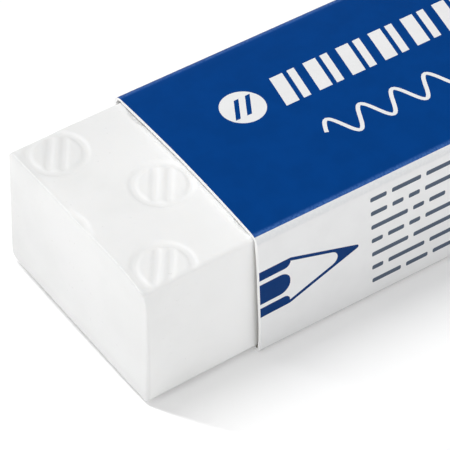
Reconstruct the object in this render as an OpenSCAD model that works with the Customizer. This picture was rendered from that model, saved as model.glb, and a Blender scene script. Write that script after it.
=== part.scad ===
// Plastic eraser: a soft white block in a folded card sleeve that slides along it.
// X runs along the block from its bare end (-X) to its covered end, Z is up.
// The origin is under the middle of the block, on the surface that the sleeve lies on.

/* [Eraser block] */
// Length of the block
block_len = 65; // [40:1:90]
// Width of the block
block_w = 23; // [16:0.5:32]
// Height of the block
block_h = 14; // [9:0.5:20]
// Radius of the block's two long upper edges
edge_r = 0.5; // [0.3:0.1:1.2]
// Radius of the block's two long lower edges
low_edge_r = 0.9; // [0.3:0.1:1.2]
// Radius of the edges round the block's cut ends
end_edge_r = 0.15; // [0.05:0.05:0.3]

/* [Pressed marks on the block] */
// Outer diameter of one ring mark
mark_d = 6.2; // [3:0.2:7]
// Width of the pressed lines
mark_line = 0.7; // [0.4:0.1:1]
// Depth of the pressed lines
mark_depth = 0.12; // [0.05:0.01:0.3]
// Distance from the bare end to the middle of the first pair of marks
mark_start = 4.2; // [3.9:0.1:8]
// Distance from one column of marks to the next
mark_step = 5.8; // [4:0.1:9]
// Distance from the middle line to the middles of the paired marks, which may run over the edges
mark_row = 9.1; // [4:0.1:10]
// Flat strip left between the last mark and the covered end
mark_margin = 0.3; // [0.1:0.1:1]
// Slope of the two bars in each ring, in degrees
mark_slope = 55; // [0:5:90]

/* [Card sleeve] */
// Length of block left bare at the front end
bare_len = 12.2; // [5:0.1:25]
// Length of block left bare at the back end
back_len = 0.8; // [0:0.1:5]
// Thickness of the card
card_t = 0.3; // [0.2:0.05:0.45]
// Outer radius of the folds
fold_r = 0.9; // [0.5:0.05:1]
// Rise of the top panel between its two folds
crown = 0.45; // [0.2:0.05:1]
// Width of the glued flap inside the bottom panel
flap_w = 8; // [3:0.5:10]
// Distance that the bottom panel stops short of the far side
lap_back = 1; // [0.6:0.1:3]

/* [Clearances between block and sleeve] */
// Gap on each side of the block
side_gap = 0.15; // [0.05:0.05:0.5]
// Gap under the block, above the glued flap
under_gap = 0.05; // [0.02:0.01:0.3]
// Gap over the block at the two top folds
top_gap = 0.2; // [0.05:0.05:0.6]

/* [Hidden] */
eps = 0.01;
front_x = -block_len / 2;
sleeve_x = front_x + bare_len;
sleeve_len = block_len - bare_len - back_len;

// The block lies on the glued flap, which lies on the bottom panel.
block_z = 2 * card_t + under_gap;
block_top = block_z + block_h;

// Outside of the sleeve, and the middles of its fold arcs.
sleeve_w = block_w + 2 * (side_gap + card_t);
fold_y = sleeve_w / 2 - fold_r;
fold_z = block_top + top_gap + card_t - fold_r;
// The top panel is an arc that runs smoothly into both fold arcs.
crown_r = fold_r + (fold_y * fold_y + crown * crown) / (2 * crown);
crown_z = fold_z + crown + fold_r - crown_r;

// Columns of marks: two side by side, then one on the middle line, and so on.
mark_r = mark_d / 2;
mark_room = block_len - mark_start - mark_r - end_edge_r - mark_margin;
mark_columns = floor(mark_room / mark_step) + 1;
bar_gap = mark_line;

// Rectangle with round corners, centred. The upper and lower corners have their own radii.
module round_rect(w, h, top_r, low_r) {
    translate([-w / 2, low_r - h / 2])
        square([w, h - low_r - top_r]);
    for (end = [[1, top_r], [-1, low_r]]) {
        r = end[1];
        translate([0, end[0] * h / 4])
            square([w - 2 * r, h / 2], center = true);
        for (x = [-1, 1])
            translate([x * (w / 2 - r), end[0] * (h / 2 - r)])
                circle(r = r, $fn = 48);
    }
}

// Block with round long edges and crisper cut ends, centred on the origin.
module soft_block() {
    intersection() {
        linear_extrude(block_h, center = true)
            round_rect(block_len, block_w, end_edge_r, end_edge_r);
        rotate([90, 0, 0])
            linear_extrude(block_w, center = true)
                round_rect(block_len, block_h, end_edge_r, end_edge_r);
        rotate([90, 0, 90])
            linear_extrude(block_len, center = true)
                round_rect(block_w, block_h, edge_r, low_edge_r);
    }
}

// One mark: a ring with two sloping bars in it, sunk into the face below z = 0.
module mark() {
    inner_r = mark_r - mark_line;
    bar_y = (bar_gap + mark_line) / 2;
    bar_len = 2 * sqrt(inner_r * inner_r - pow(bar_y + mark_line / 2, 2)) - mark_line;
    translate([0, 0, -mark_depth])
        linear_extrude(mark_depth + eps) {
            difference() {
                circle(r = mark_r, $fn = 64);
                circle(r = inner_r, $fn = 64);
            }
            rotate(mark_slope)
                for (side = [-1, 1])
                    translate([0, side * bar_y])
                        square([bar_len, mark_line], center = true);
        }
}

// Every mark on the top face, row by row along the block.
module marks() {
    for (column = [0 : mark_columns - 1]) {
        x = front_x + mark_start + column * mark_step;
        rows = column % 2 == 0 ? [-mark_row, mark_row] : [0];
        for (y = rows)
            translate([x, y, block_top])
                mark();
    }
}

module eraser_block() {
    color("whitesmoke")
        difference() {
            translate([0, 0, block_z + block_h / 2])
                soft_block();
            marks();
        }
}

// Closed outline of the sleeve in the Y-Z plane, moved inwards by inset all round.
// The two bottom folds start at the height lift.
module outline(inset, lift) {
    r = fold_r - inset;
    arc_r = crown_r - inset;
    arc_y = fold_y * arc_r / (arc_r - r);
    low_z = lift + fold_r;
    translate([-fold_y - r, low_z])
        square([2 * (fold_y + r), fold_z - low_z]);
    translate([-fold_y, lift + inset])
        square([2 * fold_y, fold_z - lift - inset]);
    for (y = [-fold_y, fold_y], z = [low_z, fold_z])
        translate([y, z])
            circle(r = r, $fn = 48);
    intersection() {
        translate([0, crown_z])
            circle(r = arc_r, $fn = 720);
        translate([-arc_y, fold_z - eps])
            square([2 * arc_y, crown + fold_r]);
    }
}

// Ring of card one thickness wide, with its bottom at the height lift.
module card_ring(lift) {
    difference() {
        outline(0, lift);
        outline(card_t, lift);
    }
}

// Section of the folded card: one wrap that ends in a flap glued to the bottom panel.
module card_section() {
    tall = fold_z + crown + 2 * fold_r;
    flap_y = sleeve_w / 2 - flap_w;
    intersection() {
        card_ring(0);
        translate([-sleeve_w, -eps])
            square([sleeve_w, tall]);
    }
    intersection() {
        card_ring(card_t);
        union() {
            translate([0, tall / 2])
                square([sleeve_w, tall]);
            translate([flap_y, -eps])
                square([sleeve_w, tall]);
        }
    }
    translate([-eps, 0])
        square([sleeve_w / 2 - lap_back + eps, card_t]);
}

module sleeve() {
    color("royalblue")
        translate([sleeve_x, 0, 0])
            rotate([90, 0, 90])
                linear_extrude(sleeve_len)
                    card_section();
}

eraser_block();
sleeve();
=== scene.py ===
"""Looks of a white plastic eraser in a folded, printed card sleeve.

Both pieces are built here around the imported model's frame: X runs along the block from
its bare end, Z is up, and the sleeve lies on z = 0. Lengths are in millimetres, and a
mesh is brought to metres when it is made.
"""

import math
import random

import bpy
import numpy as np
from mathutils import Matrix, Vector, noise
from mathutils.geometry import delaunay_2d_cdt


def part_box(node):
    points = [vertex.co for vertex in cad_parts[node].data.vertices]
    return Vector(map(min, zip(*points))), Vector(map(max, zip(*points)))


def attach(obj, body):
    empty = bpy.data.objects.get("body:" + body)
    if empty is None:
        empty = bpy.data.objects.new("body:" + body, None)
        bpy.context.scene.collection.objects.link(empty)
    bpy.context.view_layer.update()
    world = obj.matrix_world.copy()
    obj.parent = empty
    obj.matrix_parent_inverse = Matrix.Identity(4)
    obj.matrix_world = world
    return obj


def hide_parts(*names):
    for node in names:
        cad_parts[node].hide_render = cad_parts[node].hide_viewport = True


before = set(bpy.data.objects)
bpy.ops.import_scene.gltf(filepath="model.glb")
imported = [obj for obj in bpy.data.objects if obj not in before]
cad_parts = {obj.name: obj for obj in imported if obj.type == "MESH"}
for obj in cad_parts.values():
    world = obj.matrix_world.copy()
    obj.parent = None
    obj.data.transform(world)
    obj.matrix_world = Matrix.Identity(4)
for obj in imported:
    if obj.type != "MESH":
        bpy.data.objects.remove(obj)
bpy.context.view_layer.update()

MM = 0.001

# Without a seed of its own, noise_vector takes one from the clock.
SEED = 7
noise.seed_set(SEED)

# ------------------------------------------------------------------ places in the frame
BLOCK_LOW, BLOCK_HIGH = (np.array(corner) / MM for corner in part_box("eraser_block"))
SLEEVE_LOW, SLEEVE_HIGH = (np.array(corner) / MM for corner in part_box("sleeve"))

# ---------------------------------------------------------------- sizes of the sleeve
# The near lower fold is tighter than the other three.
CARD_T = 0.3
FOLD_R = 0.9
LOW_FOLD_R = 0.45
CROWN = 0.45
FLAP_W = 8.0
LAP_BACK = 1.0
GLUE_GAP = 0.01
SLEEVE_LEN = SLEEVE_HIGH[0] - SLEEVE_LOW[0]
SLEEVE_HALF = SLEEVE_HIGH[1]
FOLD_Y = SLEEVE_HALF - FOLD_R
FOLD_Z = SLEEVE_HIGH[2] - CROWN - FOLD_R
CROWN_R = FOLD_R + (FOLD_Y**2 + CROWN**2) / (2 * CROWN)
CROWN_Z = FOLD_Z + CROWN + FOLD_R - CROWN_R
CROWN_ANGLE = math.atan2(FOLD_Y, FOLD_Z - CROWN_Z)
FLAP_Z = CARD_T + GLUE_GAP
COLUMN_STEP = 1.3

# ---------------------------------------------------------------- sizes of the block
TOP_EDGE_R = 0.5
NEAR_LOW_R = 0.3
FAR_LOW_R = 0.9
END_EDGE_R = 0.12
MIDDLE_Z = (BLOCK_LOW[2] + BLOCK_HIGH[2]) / 2
HALF_W = BLOCK_HIGH[1]
HALF_H = (BLOCK_HIGH[2] - BLOCK_LOW[2]) / 2
BARE_LEN = SLEEVE_LOW[0] - BLOCK_LOW[0]
FINE_STEP = 0.13
COARSE_STEP = 0.24
UNEVEN_CELL = 7
UNEVEN_DEPTH = 0.02

# ---------------------------------------------------------------- marks on the block
MARK_COLUMNS = range(-1, 10)
MARK_R = 3.1
MARK_LINE = 0.7
MARK_SOFT = 0.45
MARK_DEPTH = 0.12
MARK_START = 3.4
MARK_STEP = 5.8
MARK_SLOPE = math.radians(55)
MARK_ROW_Y = 9.1
MARK_SHIFT_Y = -0.55


# ======================================================================= materials
def new_material(name):
    """An empty node material with its Principled shader and its node tree."""
    material = bpy.data.materials.new(name)
    material.use_nodes = True
    tree = material.node_tree
    return material, tree, tree.nodes["Principled BSDF"]


def node(tree, kind, inputs=None, **settings):
    """A new node with its settings, and with its input sockets set or linked by name."""
    made = tree.nodes.new(kind)
    for key, value in settings.items():
        setattr(made, key, value)
    for key, value in (inputs or {}).items():
        if isinstance(value, bpy.types.NodeSocket):
            tree.links.new(value, made.inputs[key])
        else:
            made.inputs[key].default_value = value
    return made


def place(tree):
    """The point on the surface in the piece's own coordinates, in metres."""
    return node(tree, "ShaderNodeTexCoord").outputs["Object"]


def speckle(tree, point, cell, detail=3.0, roughness=0.5):
    """Grey noise about 0.5, with cells of the given size."""
    values = {"Vector": point, "Scale": 1 / (cell * MM), "Detail": detail, "Roughness": roughness}
    return node(tree, "ShaderNodeTexNoise", values).outputs["Fac"]


def axes_of(tree, vector):
    """The X, Y and Z sockets of a vector."""
    return node(tree, "ShaderNodeSeparateXYZ", {"Vector": vector}).outputs


def ramp(tree, value, low, high, to_low=0.0, to_high=1.0):
    """The value mapped smoothly from low..high to to_low..to_high and held at the ends."""
    names = ("Value", "From Min", "From Max", "To Min", "To Max")
    values = dict(zip(names, (value, low, high, to_low, to_high)))
    made = node(tree, "ShaderNodeMapRange", values, interpolation_type="SMOOTHSTEP")
    return made.outputs["Result"]


def band(tree, axis, low, high, to_low=0.0, to_high=1.0):
    """A ramp along an axis of the piece between two places in millimetres."""
    return ramp(tree, axis, low * MM, high * MM, to_low, to_high)


def maths(tree, operation, first, second=0.0):
    """The result of a maths node on two values or sockets."""
    return node(tree, "ShaderNodeMath", {0: first, 1: second}, operation=operation).outputs[0]


def mix(tree, factor, first, second):
    """first where factor is 0 and second where it is 1. Each is a colour or a socket."""
    colours = [c if isinstance(c, bpy.types.NodeSocket) else (*c, 1.0) for c in (first, second)]
    values = {0: factor, 6: colours[0], 7: colours[1]}
    return node(tree, "ShaderNodeMix", values, data_type="RGBA").outputs[2]


def bump(tree, height, distance, strength, under=None):
    """Fine relief from a height socket. under is the bump that lies below this one."""
    values = {"Height": height, "Distance": distance * MM, "Strength": strength}
    if under is not None:
        values["Normal"] = under
    return node(tree, "ShaderNodeBump", values).outputs["Normal"]


VINYL_DULL = (0.865, 0.868, 0.862)
VINYL_WHITE = (0.895, 0.897, 0.892)
# Painted light: the vinyl is whitened toward this colour by the sleeve.
VINYL_LIT = (0.955, 0.957, 0.953)
VINYL_DUST = (0.80, 0.80, 0.79)
# Painted shade: the vinyl is greyed toward this colour on the far part of the top and on the cut
# end.
VINYL_SHADE = (0.40, 0.40, 0.41)


def painted_light_and_shade(tree, axes, colour):
    """The vinyl's colour with painted light and shade: whiter toward and under the card, most on
    the near side, and greyer on the far part of the top and on the cut end.
    """
    cut_x, top_z = BLOCK_LOW[0], BLOCK_HIGH[2]
    # Painted light: whiter toward the sleeve and under it, most on the near side.
    covered = band(tree, axes["X"], cut_x + 4.0, SLEEVE_LOW[0] + 2.0)
    lit_toward_sleeve = maths(tree, "MULTIPLY", covered, band(tree, axes["Y"], 0.0, HALF_W, 1.0, 0.35))
    colour = mix(tree, lit_toward_sleeve, colour, VINYL_LIT)
    # Painted shade: the far part of the top is a little greyer.
    far_side = band(tree, axes["Y"], 3.0, HALF_W, 0.0, 0.07)
    on_top = band(tree, axes["Z"], top_z - 1.5, top_z - 0.3)
    colour = mix(tree, maths(tree, "MULTIPLY", far_side, on_top), colour, VINYL_SHADE)
    # Painted shade on the cut end: darker toward its bottom and in bands along its lower and upper
    # edges.
    cut_face = band(tree, axes["X"], cut_x + 0.1, cut_x + 0.6, 0.19, 0.0)
    low_down = band(tree, axes["Z"], 2.0, 14.0, 1.0, 0.15)
    low_rim = band(tree, axes["Z"], 0.7, 2.4, 0.55, 0.0)
    top_rim = band(tree, axes["Z"], top_z - 0.4, top_z - 0.1, 0.0, 0.48)
    shade = maths(tree, "ADD", maths(tree, "ADD", low_down, low_rim), top_rim)
    return mix(tree, maths(tree, "MULTIPLY", cut_face, shade), colour, VINYL_SHADE)


def eraser_plastic():
    """Soft white vinyl: matte, faintly clouded and slightly translucent, with a fine grain."""
    material, tree, shader = new_material("eraser_plastic")
    point = place(tree)
    cloud = ramp(tree, speckle(tree, point, 6.0, 4), 0.35, 0.65)
    colour = mix(tree, cloud, VINYL_DULL, VINYL_WHITE)
    dust = ramp(tree, speckle(tree, point, 0.4, 2), 0.68, 0.78)
    colour = mix(tree, maths(tree, "MULTIPLY", dust, cloud), colour, VINYL_DUST)
    # Painted light and shade laid over the vinyl's own colour.
    colour = painted_light_and_shade(tree, axes_of(tree, point), colour)
    tree.links.new(colour, shader.inputs["Base Color"])
    grain = speckle(tree, point, 0.2, 4, 0.6)
    tree.links.new(ramp(tree, grain, 0.3, 0.7, 0.46, 0.60), shader.inputs["Roughness"])
    coarse = bump(tree, speckle(tree, point, 1.1, 2), 0.02, 0.35)
    fine = bump(tree, grain, 0.008, 0.5, coarse)
    tree.links.new(fine, shader.inputs["Normal"])
    shader.inputs["Specular IOR Level"].default_value = 0.35
    shader.inputs["Subsurface Weight"].default_value = 0.2
    shader.inputs["Subsurface Radius"].default_value = (1.0, 0.95, 0.88)
    shader.inputs["Subsurface Scale"].default_value = 0.8 * MM
    return material


def fold_wear_and_highlight(tree, point, axes):
    """How worn the coat is by the top folds, where the worn tone also stands for a painted
    highlight: most at the near one, and in small patches.
    """
    across = maths(tree, "ABSOLUTE", axes["Y"])
    at_fold = band(tree, across, FOLD_Y - 0.12, FOLD_Y + 0.3)
    upper = band(tree, axes["Z"], FOLD_Z, FOLD_Z + 0.3)
    patches = ramp(tree, speckle(tree, point, 0.26, 3, 0.7), 0.30, 0.62, 0.3, 1.0)
    over_far = band(tree, axes["Y"], FOLD_Y + 0.2, FOLD_Y + 0.5, 1.0, 0.15)
    crease = maths(tree, "MULTIPLY", maths(tree, "MULTIPLY", at_fold, upper), patches)
    return maths(tree, "MULTIPLY", maths(tree, "MULTIPLY", crease, over_far), 0.5)


def coated_card(name, colour, worn, roughness, specular, mottle=1.0):
    """Printed or blank coated card, worn along the top folds with a painted highlight there, and
    darker low down and along the lower folds: painted shade.
    """
    material, tree, shader = new_material(name)
    point = place(tree)
    axes = axes_of(tree, point)
    tone = ramp(tree, speckle(tree, point, 2.4, 3), 0.3, 0.7)
    lighter = tuple(min(1.0, c * (1 + 0.05 * mottle)) for c in colour)
    darker = tuple(c * (1 - 0.04 * mottle) for c in colour)
    base = mix(tree, tone, darker, lighter)
    # The worn tone is partly a painted highlight along the top folds.
    base = mix(tree, fold_wear_and_highlight(tree, point, axes), base, worn)
    # Painted shade: darker toward the bottom, and a painted shadow along the lower folds.
    low_shade = band(tree, axes["Z"], 1.0, 13.0, 0.10, 0.0)
    low_fold = band(tree, axes["Z"], 0.15, 0.5, 0.30, 0.0)
    base = mix(tree, maths(tree, "ADD", low_shade, low_fold), base, tuple(0.3 * c for c in colour))
    tree.links.new(base, shader.inputs["Base Color"])
    fibre = speckle(tree, point, 0.14, 3, 0.65)
    gloss = ramp(tree, fibre, 0.3, 0.7, roughness - 0.05, roughness + 0.07)
    tree.links.new(gloss, shader.inputs["Roughness"])
    soft = bump(tree, speckle(tree, point, 3.8, 2), 0.02, 0.3)
    fine = bump(tree, fibre, 0.004, 0.5, soft)
    tree.links.new(fine, shader.inputs["Normal"])
    shader.inputs["Specular IOR Level"].default_value = specular
    return material


def bare_board(name, colour, slit_shade):
    """Uncoated card: its cut edges, or its inside, with painted shade low on the near side, beside
    the block.
    """
    material, tree, shader = new_material(name)
    point = place(tree)
    fibres = speckle(tree, point, 0.24, 5, 0.7)
    darker = tuple(c * 0.9 for c in colour)
    base = mix(tree, ramp(tree, fibres, 0.3, 0.7), darker, colour)
    axes = axes_of(tree, point)
    # Painted shade: the inside darkens low down on the near side, in the slit beside the block.
    beside = band(tree, axes["Y"], 0.1 - HALF_W, 0.5 - HALF_W, 1.0, 0.0)
    below = band(tree, axes["Z"], FOLD_Z - 0.7, FOLD_Z, 1.0, 0.0)
    base = mix(tree, maths(tree, "MULTIPLY", beside, below), base, slit_shade)
    tree.links.new(base, shader.inputs["Base Color"])
    tree.links.new(bump(tree, fibres, 0.02, 0.6), shader.inputs["Normal"])
    shader.inputs["Roughness"].default_value = 0.85
    shader.inputs["Specular IOR Level"].default_value = 0.2
    return material


# ===================================================================== path of the card
class Wrap:
    """The outer face of the folded card as one path in the Y-Z plane.

    It starts at the free edge of the bottom panel, goes round the near side, the top
    and the far side, and ends in the flap that is glued on top of the bottom panel.
    """

    def __init__(self):
        self.parts = []
        self.length = 0.0
        quarter = math.pi / 2
        rise = quarter - CROWN_ANGLE
        far_low = FLAP_Z + FOLD_R
        low_fold = (LOW_FOLD_R - SLEEVE_HALF, LOW_FOLD_R)
        self.bottom = self.line((SLEEVE_HALF - LAP_BACK, 0), (low_fold[0], 0), 8)
        self.near_low = self.arc(low_fold, LOW_FOLD_R, 3 * quarter, 2 * quarter, 8)
        self.near = self.line((-SLEEVE_HALF, LOW_FOLD_R), (-SLEEVE_HALF, FOLD_Z), 12)
        self.near_top = self.arc((-FOLD_Y, FOLD_Z), FOLD_R, 2 * quarter, math.pi - rise, 9)
        self.top = self.arc((0, CROWN_Z), CROWN_R, math.pi - rise, rise, 26)
        self.far_top = self.arc((FOLD_Y, FOLD_Z), FOLD_R, rise, 0, 9)
        self.far = self.line((SLEEVE_HALF, FOLD_Z), (SLEEVE_HALF, far_low), 10)
        self.far_low = self.arc((FOLD_Y, far_low), FOLD_R, 0, -quarter, 8)
        self.flap = self.line((FOLD_Y, FLAP_Z), (SLEEVE_HALF - FLAP_W, FLAP_Z), 5)

    def line(self, start, end, steps):
        """Adds a straight stretch and returns where it starts and ends along the path."""
        return self.add("line", (start, end), math.dist(start, end), steps)

    def arc(self, centre, radius, start, end, steps):
        """Adds an arc between two angles and returns where it starts and ends."""
        return self.add("arc", (centre, radius, start, end), radius * abs(end - start), steps)

    def add(self, kind, shape, length, steps):
        """Adds a stretch that is cut into steps."""
        start = self.length
        self.parts.append((kind, shape, start, length, steps))
        self.length += length
        return start, self.length

    def stations(self):
        """Distances along the path at which the card is cut across."""
        cuts = []
        for *_, start, length, steps in self.parts:
            cuts += [start + length * k / steps for k in range(steps)]
        return cuts + [self.length]

    def at(self, s):
        """The point and the outward direction at a distance along the path, as (y, z)."""
        s = min(s, self.length)
        kind, shape, start, length, _ = next(p for p in self.parts if s <= p[2] + p[3])
        share = (s - start) / length
        if kind == "line":
            (y0, z0), (y1, z1) = shape
            step_y, step_z = y1 - y0, z1 - z0
            return (y0 + step_y * share, z0 + step_z * share), (-step_z / length, step_y / length)
        (centre_y, centre_z), radius, first, last = shape
        angle = first + (last - first) * share
        out = (math.cos(angle), math.sin(angle))
        return (centre_y + radius * out[0], centre_z + radius * out[1]), out


WRAP = Wrap()
TOP_MIDDLE = sum(WRAP.top) / 2


def share_of(span, s):
    """How far s is along a stretch of the path: 0 up to its start and 1 from its end."""
    return min(max((s - span[0]) / (span[1] - span[0]), 0), 1)


def stand_off(x, s):
    """How far the real, slightly sprung card stands outside its ideal path."""
    if WRAP.near[0] < s < WRAP.near[1]:
        up = share_of(WRAP.near, s)
        belly = 0.05 * math.sin(math.pi * up) * (1 + 0.4 * math.sin(x / 9))
        flare = 0.3 * (1 - (2 * up - 1) ** 4) * (1 - 0.6 * up) * math.exp(-x / 6)
        return belly + flare
    if s < WRAP.far_top[1]:
        across = share_of(WRAP.top, s)
        cockle = noise.noise(Vector((x / 14, s / 9, SEED)))
        return 0.06 * math.sin(math.pi * across) ** 2 * cockle + 0.14 * across**2
    down, under = share_of(WRAP.far, s), share_of(WRAP.far_low, s)
    flare = 0.3 * math.sin(math.pi / 2 * min(2 * down, 1)) * (1 - under) * math.exp(-x / 7)
    return 0.14 * (1 - down) + 0.07 * math.sin(math.pi * down) + flare


def cut_back(x, s):
    """How far the front edge of the card lies behind its ideal place: its cut is not square."""
    if s < WRAP.top[0]:
        back = 0.25 - 0.40 * share_of(WRAP.near, s)
    else:
        back = 0.08 * share_of(WRAP.top, s) - 0.13
    return back * max(0, 1 - x / 2.6)


def folded(x, s, depth):
    """The point of the folded card at a place on its blank, at a depth below the face.

    By the front edge the inner skin lies deeper, because the cut left a burr there.
    """
    (y, z), (out_y, out_z) = WRAP.at(s)
    burr = 0.0
    if depth and WRAP.near[0] < s < WRAP.top[1]:
        burr = 0.12 * math.exp(-x / 1.2) * min(1, 2 * share_of(WRAP.near, s))
    off = stand_off(x, s) - depth - burr
    return (SLEEVE_LOW[0] + x + cut_back(x, s), y + out_y * off, z + out_z * off)


# ==================================================================== print on the card
# A shape is a list of corners (x, s) on the blank: x from the sleeve's front edge, and s
# along the path of the card.
def on_top(outline):
    """Moves (x, y) corners to the top panel, with y from its middle line."""
    return [(x, TOP_MIDDLE + CROWN_R * math.asin(y / CROWN_R)) for x, y in outline]


def on_near(outline):
    """Moves (x, z) corners to the near side, with z above the surface it lies on."""
    return [(x, WRAP.near[0] + z - LOW_FOLD_R) for x, z in outline]


def rectangle(x0, x1, y0, y1):
    """Corners of an upright rectangle."""
    return [(x0, y0), (x1, y0), (x1, y1), (x0, y1)]


def disc(x, y, radius, steps=48):
    """Corners of a disc."""
    turns = [math.tau * k / steps for k in range(steps)]
    return [(x + radius * math.cos(a), y + radius * math.sin(a)) for a in turns]


def slanted(x, y, width, height, slope):
    """Corners of a parallelogram on a middle point whose sides lean by an angle."""
    lean = height / 2 * math.tan(slope)
    half_w, half_h = width / 2, height / 2
    return [
        (x - half_w - lean, y - half_h),
        (x + half_w - lean, y - half_h),
        (x + half_w + lean, y + half_h),
        (x - half_w + lean, y + half_h),
    ]


def rounded(corners, radii, steps=8):
    """A polygon with its corners rounded, each by its own radius. A radius of 0 is sharp."""
    points = []
    for k, radius in enumerate(radii):
        here = Vector(corners[k])
        back = (Vector(corners[k - 1]) - here).normalized()
        ahead = (Vector(corners[(k + 1) % len(corners)]) - here).normalized()
        if radius == 0:
            points.append(tuple(here))
            continue
        half = back.angle(ahead) / 2
        centre = here + (back + ahead).normalized() * radius / math.sin(half)
        first = here + back * radius / math.tan(half) - centre
        last = here + ahead * radius / math.tan(half) - centre
        start = math.atan2(first.y, first.x)
        turn = math.remainder(math.atan2(last.y, last.x) - start, math.tau)
        for step in range(steps + 1):
            angle = start + turn * step / steps
            x, y = centre.x + radius * math.cos(angle), centre.y + radius * math.sin(angle)
            points.append((x, y))
    return points


def wave(x0, y, height, pitch, count, stroke, steps=20):
    """Outline of a sine line: one side there and the other side back."""
    sides = ([], [])
    for k in range(count * steps + 1):
        turn = math.tau * k / steps
        slope = height / 2 * math.cos(turn) * math.tau / pitch
        out_x, out_y = -slope / math.hypot(1, slope), 1 / math.hypot(1, slope)
        x, mid_y = x0 + pitch * k / steps, y + height / 2 * math.sin(turn)
        for side, sign in zip(sides, (-0.5, 0.5)):
            side.append((x + out_x * stroke * sign, mid_y + out_y * stroke * sign))
    return sides[0] + sides[1][::-1]


def emblem():
    """White disc crossed by two leaning bars, ahead of the bold line."""
    x, y, radius = 8.75, 3.25, 2.3
    bar_x, bar_w, bar_h, slope = 0.65, 0.55, 2.5, math.radians(30)
    bars = [slanted(x + side * bar_x, y, bar_w, bar_h, slope) for side in (-1, 1)]
    return [("white", on_top(disc(x, y, radius)))] + [("blue", on_top(b)) for b in bars]


def bold_line():
    """White blocks, each one wide and one narrow leaning bar, in a line along the top."""
    first_x, y, height, pitch, count, slope = 14.2, 3.15, 4.2, 3.9, 9, math.radians(12)
    wide, narrow = (-0.7, 1.5), (1.0, 0.85)
    shapes = []
    for k in range(count):
        for along, width in (wide, narrow):
            bar = slanted(first_x + k * pitch + along, y, width, height, slope)
            shapes.append(("white", on_top(bar)))
    return shapes


def thin_line():
    """White wavy line below the bold line."""
    first_x, y, height, pitch, count, stroke = 13.3, -4.05, 2.9, 3.9, 9, 0.42
    return [("white", on_top(wave(first_x, y, height, pitch, count, stroke)))]


def pencil():
    """Plain pictogram of a pencil that comes in from the sleeve's front edge.

    Its barrel is three strips, one above the other, and its cone a white shape in a navy one.
    """
    shoulder, tip_x, tip_z, low, high = 3.55, 11.95, 8.1, 5.05, 10.95
    line, tip_r, cone_r, strip_r, middle_r = 0.4, 0.25, 0.86, 0.7, 1.2
    shapes = [
        rounded(rectangle(0, shoulder, 9.85, high), (0, strip_r, 0, 0)),
        rounded(rectangle(0, shoulder, 6.75, 9.3), (0, middle_r, middle_r, 0)),
        rounded(rectangle(0, shoulder, low, 6.25), (0, 0, strip_r, 0)),
        rounded([(shoulder, low), (tip_x, tip_z), (shoulder, high)], (0, tip_r, 0)),
    ]
    cone_len = tip_x - shoulder
    half = (math.atan2(high - tip_z, cone_len) + math.atan2(tip_z - low, cone_len)) / 2
    inner_tip = (tip_x - line / math.sin(half), tip_z)
    gap = line / math.cos(half)
    cone = rounded([(shoulder, low + gap), inner_tip, (shoulder, high - gap)], (0, cone_r, 0))
    return [("navy", on_near(shape)) for shape in shapes] + [("white", on_near(cone))]


def fine_print():
    """Seven rows of short dashes in place of small type, each row indented a little more."""
    chance = random.Random(SEED)
    rows, first_x, last_x, top_z, pitch, height, gap = 7, 12.65, 46.5, 13.2, 1.82, 0.55, 0.62
    indent, ragged, least, corner_r = 0.12, 4, 1.2, 0.15
    lengths = (1.3, 1.9, 2.6, 3.4, 4.3, 5.2)
    shapes = []
    for row in range(rows):
        x = first_x + indent * row
        end = last_x - chance.uniform(0, ragged)
        z = top_z - row * pitch
        while x < end - least:
            length = min(chance.choice(lengths), end - x)
            dash = rectangle(x, x + length, z - height / 2, z + height / 2)
            shapes.append(("slate", on_near(rounded(dash, (corner_r,) * 4, 3))))
            x += length + gap
    return shapes


def card_print():
    """Every printed shape, the lowest layer first, as (ink, outline)."""
    over_near_fold, over_far_fold, bottom_margin = 0.39, 1.0, 0.3
    top = rectangle(0, SLEEVE_LEN, WRAP.top[0] - over_near_fold, WRAP.top[1] + over_far_fold)
    bottom = rectangle(0, SLEEVE_LEN, 0, WRAP.bottom[1] - bottom_margin)
    shapes = [("blue", top), ("blue", bottom)]
    return shapes + emblem() + bold_line() + thin_line() + pencil() + fine_print()


# ============================================================================== meshes
def new_piece(name, points, faces, materials, indices=None, sharp=35):
    """A smooth-shaded object from points in millimetres, split at edges over sharp degrees."""
    mesh = bpy.data.meshes.new(name)
    mesh.from_pydata([tuple(MM * c for c in p) for p in points], [], faces)
    for material in materials:
        mesh.materials.append(material)
    if indices is not None:
        mesh.polygons.foreach_set("material_index", indices)
    mesh.shade_smooth()
    mesh.set_sharp_from_angle(angle=math.radians(sharp))
    mesh.validate()
    made = bpy.data.objects.new(name, mesh)
    bpy.context.scene.collection.objects.link(made)
    return made


def blank(prints):
    """Triangles of the flat card: corners (x, s), triangles, and the print each lies in."""
    stations = WRAP.stations()
    columns = np.linspace(0, SLEEVE_LEN, round(SLEEVE_LEN / COLUMN_STEP) + 1)
    points = [Vector((x, s)) for s in stations for x in columns]
    count = len(columns)
    edges = [(k, k + 1) for k in range(len(points) - 1) if (k + 1) % count]
    faces = []
    for _, outline in prints:
        faces.append(list(range(len(points), len(points) + len(outline))))
        points += [Vector(corner) for corner in outline]
    corners, _, triangles, _, _, inside = delaunay_2d_cdt(points, edges, faces, 0, 1e-5)
    return corners, triangles, [max(owners, default=-1) for owners in inside]


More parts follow.
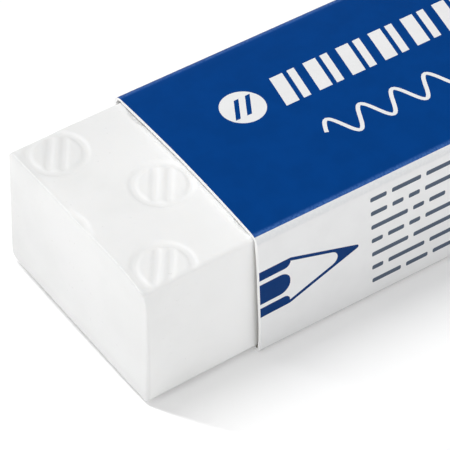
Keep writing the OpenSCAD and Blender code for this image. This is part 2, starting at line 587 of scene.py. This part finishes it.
def card_sleeve(inks, inside, cut):
    """The folded card: a printed outer skin, an inner skin and the cut edges between them."""
    prints = card_print()
    corners, triangles, owners = blank(prints)
    materials = [*inks.values(), inside, cut]
    order = list(inks)
    count = len(corners)
    points = [folded(x, s, depth) for depth in (0, CARD_T) for x, s in corners]
    faces = [tuple(t) for t in triangles]
    indices = [order.index(prints[k][0] if k >= 0 else "white") for k in owners]
    faces += [tuple(k + count for k in reversed(t)) for t in triangles]
    indices += [len(inks)] * len(triangles)
    sides = {(t[k - 1], t[k]) for t in triangles for k in range(3)}
    rim = [(a, b) for a, b in sorted(sides) if (b, a) not in sides]
    faces += [(b, a, a + count, b + count) for a, b in rim]
    indices += [len(inks) + 1] * len(rim)
    return new_piece("printed_sleeve", points, faces, materials, indices)


def groove(distance):
    """Depth of a pressed line at a distance from its middle, with soft sides."""
    rise = np.clip((MARK_LINE / 2 + MARK_SOFT / 2 - distance) / MARK_SOFT, 0, 1)
    return rise * rise * (3 - 2 * rise)


def mark(x, y):
    """Depth of one pressed mark, a ring with two sloping bars, around its middle."""
    radius = np.hypot(x, y)
    depth = groove(np.abs(radius - MARK_R + MARK_LINE / 2))
    along = x * math.cos(MARK_SLOPE) + y * math.sin(MARK_SLOPE)
    across = y * math.cos(MARK_SLOPE) - x * math.sin(MARK_SLOPE)
    past_end = np.clip(np.abs(along) - MARK_R + 1.5 * MARK_LINE, 0, None)
    for side in (-MARK_LINE, MARK_LINE):
        depth = np.maximum(depth, groove(np.hypot(across - side, past_end)))
    return depth


def pressed(points):
    """Sinks the marks into the top face, in columns of two and one by turns.

    The first column lies past the bare end, so that the cut runs through its mark.
    """
    x, y, z = points.T
    level = np.clip((z - BLOCK_HIGH[2] + 0.3) / 0.3, 0, 1)
    depth = np.zeros(len(points))
    for column in MARK_COLUMNS:
        middle_x = BLOCK_LOW[0] + MARK_START + column * MARK_STEP
        rows = (0,) if column % 2 else (-MARK_ROW_Y, MARK_ROW_Y)
        for middle_y in rows:
            depth = np.maximum(depth, mark(x - middle_x, y - middle_y - MARK_SHIFT_Y))
    points[:, 2] -= MARK_DEPTH * depth * level
    return points


def settled(points):
    """The soft block as it lies: its cut end leans, and it spreads where the card ends.

    free runs from 0 where the card begins to 1 at the bare end, side from -1 on the near
    face to 1 on the far one, and up from -1 at the bottom to 1 at the top.
    """
    x, y, z = points.T
    free = np.clip((SLEEVE_LOW[0] - x) / BARE_LEN, 0, 1)
    side, up = y / HALF_W, (z - MIDDLE_Z) / HALF_H
    low_share, top_share = (1 - up) / 2, (1 + up) / 2

    # How far the near and the far face lie outside their places.
    near = 0.04 * low_share * free - 0.05 * top_share * free - 0.18 * (1 - free)
    near += (0.02 + 0.22 * (1 - up**2)) * free**4
    far = 0.36 * low_share * free + 0.08 * top_share - (0.08 + 0.13 * low_share) * (1 - free)

    # The bottom sags at the near side. The top swells under the card and has a worn far edge.
    tilt = np.clip(0.47 * side + 0.15, -0.32, 0.12 * free)
    swell = 0.14 * (1 - side**2) * (1 - free)
    worn = np.clip(1 + (y - HALF_W) / 1.2, 0, 1)

    # The cut face leans back at its top and drags out at its near top corner.
    lean = 0.15 * up - 0.11 * side + 0.02 * side * up - 0.10
    lean += np.where(side < 0, -0.08 * side, 0.12 * low_share * side)
    drag = 0.54 * np.exp((z - BLOCK_HIGH[2]) / 0.8 - (y + HALF_W) / 2.2)

    points[:, 0] += free**2 * (lean - drag)
    points[:, 1] += side * np.where(side < 0, near, far)
    points[:, 2] += top_share * (0.05 + swell - 0.3 * worn * free**2) + low_share * tilt
    return points


def section():
    """The block's outline across its length, as rows of y, z and the outward direction.

    Each corner gives its middle, its radius, the quarter turn at which it starts, the steps
    round it and the steps along the face that follows it.
    """
    top_y, top_z = HALF_W - TOP_EDGE_R, BLOCK_HIGH[2] - TOP_EDGE_R
    near_low = (NEAR_LOW_R - HALF_W, BLOCK_LOW[2] + NEAR_LOW_R)
    far_low = (HALF_W - FAR_LOW_R, BLOCK_LOW[2] + FAR_LOW_R)
    top_steps = round(2 * top_y / (1.2 * FINE_STEP))
    corners = [
        ((top_y, top_z), TOP_EDGE_R, 0, 5, top_steps),
        ((-top_y, top_z), TOP_EDGE_R, 1, 5, 14),
        (near_low, NEAR_LOW_R, 2, 5, 8),
        (far_low, FAR_LOW_R, 3, 7, 14),
    ]
    rows = []
    for k, ((y, z), radius, quarter, turns, steps) in enumerate(corners):
        for turn in range(turns + 1):
            angle = (quarter + turn / turns) * math.pi / 2
            out = (math.cos(angle), math.sin(angle))
            rows.append((y + radius * out[0], z + radius * out[1], *out))
        (next_y, next_z), next_radius = corners[(k + 1) % 4][:2]
        end = (next_y + next_radius * out[0], next_z + next_radius * out[1])
        for step in range(1, steps):
            share = step / steps
            between = [start + (stop - start) * share for start, stop in zip(rows[-step], end)]
            rows.append((*between, *out))
    return np.array(rows)


def end_rings(outline, x_end, inwards):
    """Rings of points over one end of the block, from its long faces to its middle.

    inwards is the direction along X from the end into the block. The edge round the end
    is crisp above and softer down its near side.
    """
    y, z, out_y, out_z = outline.T
    down = np.clip((BLOCK_HIGH[2] - z) / (2 * HALF_H), 0, 1)
    radius = END_EDGE_R * (1 - 0.5 * down) + 0.24 * down * np.clip(-y - HALF_W + 1, 0, 1)
    rings = []
    for turn in np.linspace(0, math.pi / 2, 5):
        inset = radius * (1 - math.cos(turn))
        x = x_end + inwards * radius * (1 - math.sin(turn))
        rings.append(np.stack((x, y - out_y * inset, z - out_z * inset), axis=1))
    middle = np.array((x_end, 0, MIDDLE_Z))
    shares = (0.975, 0.93, 0.86, 0.75, 0.6, 0.4, 0.2)
    return rings + [middle + (rings[-1] - middle) * share for share in shares]


def eraser_block(material):
    """The block: its outline swept along X, with faintly uneven faces and pressed marks.

    The rings lie closest on the bare part and a little way under the card.
    """
    outline = section()
    clear, under_card = 0.6, 1.5
    low_x, high_x = BLOCK_LOW[0] + clear, BLOCK_HIGH[0] - clear
    turn_x = SLEEVE_LOW[0] + under_card
    fine = np.linspace(low_x, turn_x, round((turn_x - low_x) / FINE_STEP) + 1)
    coarse = np.linspace(turn_x, high_x, round((high_x - turn_x) / COARSE_STEP) + 1)
    rings = end_rings(outline, BLOCK_LOW[0], 1)[::-1]
    for x in (*fine, *coarse[1:]):
        rings.append(np.column_stack((np.full(len(outline), x), outline[:, :2])))
    rings += end_rings(outline, BLOCK_HIGH[0], -1)
    count = len(outline)
    middles = [(BLOCK_LOW[0], 0, MIDDLE_Z), (BLOCK_HIGH[0], 0, MIDDLE_Z)]
    points = np.vstack((*rings, middles))
    faces = []
    for ring in range(len(rings) - 1):
        for k in range(count):
            here, ahead = ring * count + k, ring * count + (k + 1) % count
            faces.append((here, ahead, ahead + count, here + count))
    first, last = len(points) - 2, len(points) - 1
    last_ring = first - count
    for k in range(count):
        faces.append(((k + 1) % count, k, first))
        faces.append((last_ring + k, last_ring + (k + 1) % count, last))
    uneven = np.array([noise.noise_vector(Vector(p) / UNEVEN_CELL) for p in points])
    uneven *= UNEVEN_DEPTH * np.clip((points[:, 2:] - BLOCK_LOW[2]) / 2, 0, 1)
    return new_piece("eraser_body", settled(pressed(points + uneven)), faces, [material])


# ======================================================================= stage and light
FLOOR_HALF = 2000
FLOOR_Z = -0.02
FLOOR_COLOUR = (0.965, 0.965, 0.965, 1)
FLOOR_GLOW = 0.105
LIT_REACH = 110
WHITE_REACH = 380


def floor():
    """A pale surface just under the object that reads white to the camera where it is lit.

    Far from the object it reads white in any light, so that no horizon shows.
    """
    material, tree, shader = new_material("pale_surface")
    shader.inputs["Base Color"].default_value = FLOOR_COLOUR
    shader.inputs["Roughness"].default_value = 1.0
    shader.inputs["Specular IOR Level"].default_value = 0.0
    shader.inputs["Emission Color"].default_value = (1, 1, 1, 1)
    seen = node(tree, "ShaderNodeLightPath").outputs["Is Camera Ray"]
    away = node(tree, "ShaderNodeVectorMath", {0: place(tree)}, operation="LENGTH")
    glow = band(tree, away.outputs["Value"], LIT_REACH, WHITE_REACH, FLOOR_GLOW, 1.0)
    tree.links.new(maths(tree, "MULTIPLY", seen, glow), shader.inputs["Emission Strength"])
    outline = rectangle(-FLOOR_HALF, FLOOR_HALF, -FLOOR_HALF, FLOOR_HALF)
    made = new_piece("floor", [(x, y, FLOOR_Z) for x, y in outline], [(0, 1, 2, 3)], [material])


HORIZON_LIGHT = 0.97
ZENITH_LIGHT = 0.34
DARK_SIDE = Vector((0.41, 0.60, 0.685))
BRIGHT_SIDE = Vector((-0.75, -0.66, 0))
BRIGHT_GAIN = 0.3


def towards(tree, direction, side):
    """How far a direction points to a side: 1 straight at it and -1 straight away."""
    made = node(tree, "ShaderNodeVectorMath", {0: direction, 1: side}, operation="DOT_PRODUCT")
    return made.outputs["Value"]


def studio():
    """White surroundings: bright low down and on the camera's side, dim overhead and behind."""
    world = bpy.data.worlds.new("studio")
    world.use_nodes = True
    tree = world.node_tree
    direction = node(tree, "ShaderNodeTexCoord").outputs["Generated"]
    level = ramp(tree, axes_of(tree, direction)["Z"], 0.42, 0.72, HORIZON_LIGHT, ZENITH_LIGHT)
    shade = ramp(tree, towards(tree, direction, DARK_SIDE), 0.80, 0.96, 1.0, 0.15)
    level = maths(tree, "MULTIPLY", level, shade)
    gain = maths(tree, "MULTIPLY", towards(tree, direction, BRIGHT_SIDE), BRIGHT_GAIN)
    level = maths(tree, "MULTIPLY", level, maths(tree, "ADD", gain, 1.0))
    seen = node(tree, "ShaderNodeLightPath").outputs["Is Camera Ray"]
    level = maths(tree, "MAXIMUM", level, seen)
    tree.links.new(level, tree.nodes["Background"].inputs["Strength"])
    tree.nodes["Background"].inputs["Color"].default_value = (1, 1, 1, 1)
    bpy.context.scene.world = world


UPRIGHT = Vector((0, 0, 1))
KEY_TOWARDS = Vector((-0.56, 0.83, 0)).normalized()
KEY_ZENITH = math.radians(24.5)
KEY_DISTANCE = 1.0
KEY_LENGTH = 0.62
KEY_WIDTH = 0.05
KEY_POWER = 5.5


def put(name, data, position, right, up, back):
    """A lamp or camera at a position in metres that looks against the direction back."""
    made = bpy.data.objects.new(name, data)
    turn = Matrix((right, up, back)).transposed().to_4x4()
    made.matrix_world = Matrix.Translation(position) @ turn
    bpy.context.scene.collection.objects.link(made)
    return made


def key_light():
    """A long narrow lamp that leans over the object from behind."""
    lamp = bpy.data.lights.new("key", "AREA")
    lamp.shape = "RECTANGLE"
    lamp.size, lamp.size_y = KEY_LENGTH, KEY_WIDTH
    lamp.energy = KEY_POWER
    back = KEY_TOWARDS * math.sin(KEY_ZENITH) + UPRIGHT * math.cos(KEY_ZENITH)
    along = KEY_TOWARDS * math.cos(KEY_ZENITH) - UPRIGHT * math.sin(KEY_ZENITH)
    put("key", lamp, back * KEY_DISTANCE, along, back.cross(along), back)


CAMERA_AZIMUTH = math.radians(-34.490)
CAMERA_ELEVATION = math.radians(43.998)
CAMERA_ROLL = math.radians(-0.106)
CAMERA_TARGET = Vector((-17.300, -2.162, 7.5))
CAMERA_DISTANCE = 280.68
LENS = 236.4
SENSOR_WIDTH = 36


def aim_camera():
    """Camera on the bare end from its near side, close in, so that the sleeve runs out of view."""
    level = Vector((math.sin(CAMERA_AZIMUTH), -math.cos(CAMERA_AZIMUTH), 0))
    back = level * math.cos(CAMERA_ELEVATION) + UPRIGHT * math.sin(CAMERA_ELEVATION)
    right = UPRIGHT.cross(back).normalized()
    up = back.cross(right)
    cos_roll, sin_roll = math.cos(CAMERA_ROLL), math.sin(CAMERA_ROLL)
    right, up = right * cos_roll - up * sin_roll, up * cos_roll + right * sin_roll
    data = bpy.data.cameras.new("camera")
    data.lens = LENS
    data.sensor_width = SENSOR_WIDTH
    position = (CAMERA_TARGET + back * CAMERA_DISTANCE) * MM
    bpy.context.scene.camera = put("camera", data, position, right, up, back)


# ============================================================================ assembly
# Worn tones for the top folds, which are also a painted highlight on the blue inks.
WORN_AND_LIT_PAPER = (0.72, 0.74, 0.77)
WORN_AND_LIT_BLUE = (0.10, 0.235, 0.59)
EDGE_WHITE = (0.97, 0.97, 0.97)
INKS = {
    "white": coated_card("card_white", (0.86, 0.862, 0.866), WORN_AND_LIT_PAPER, 0.42, 0.3, 0.3),
    "blue": coated_card("card_blue", (0.0012, 0.049, 0.236), WORN_AND_LIT_BLUE, 0.34, 0.05),
    "navy": coated_card("card_navy", (0.0008, 0.036, 0.165), WORN_AND_LIT_BLUE, 0.38, 0.05),
    "slate": coated_card("card_slate", (0.061, 0.091, 0.141), WORN_AND_LIT_PAPER, 0.45, 0.3),
}

aim_camera()

block = eraser_block(eraser_plastic())
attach(block, "block")
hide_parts("eraser_block")

# Its second colour is painted shade in the slit at the near side.
inside = bare_board("card_inside", (0.90, 0.90, 0.89), (0.40, 0.39, 0.33))
cut = bare_board("card_cut", EDGE_WHITE, EDGE_WHITE)
sleeve = card_sleeve(INKS, inside, cut)
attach(sleeve, "wrap")
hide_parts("sleeve")

floor()
studio()
key_light()
bpy.context.scene.view_settings.view_transform = "Standard"
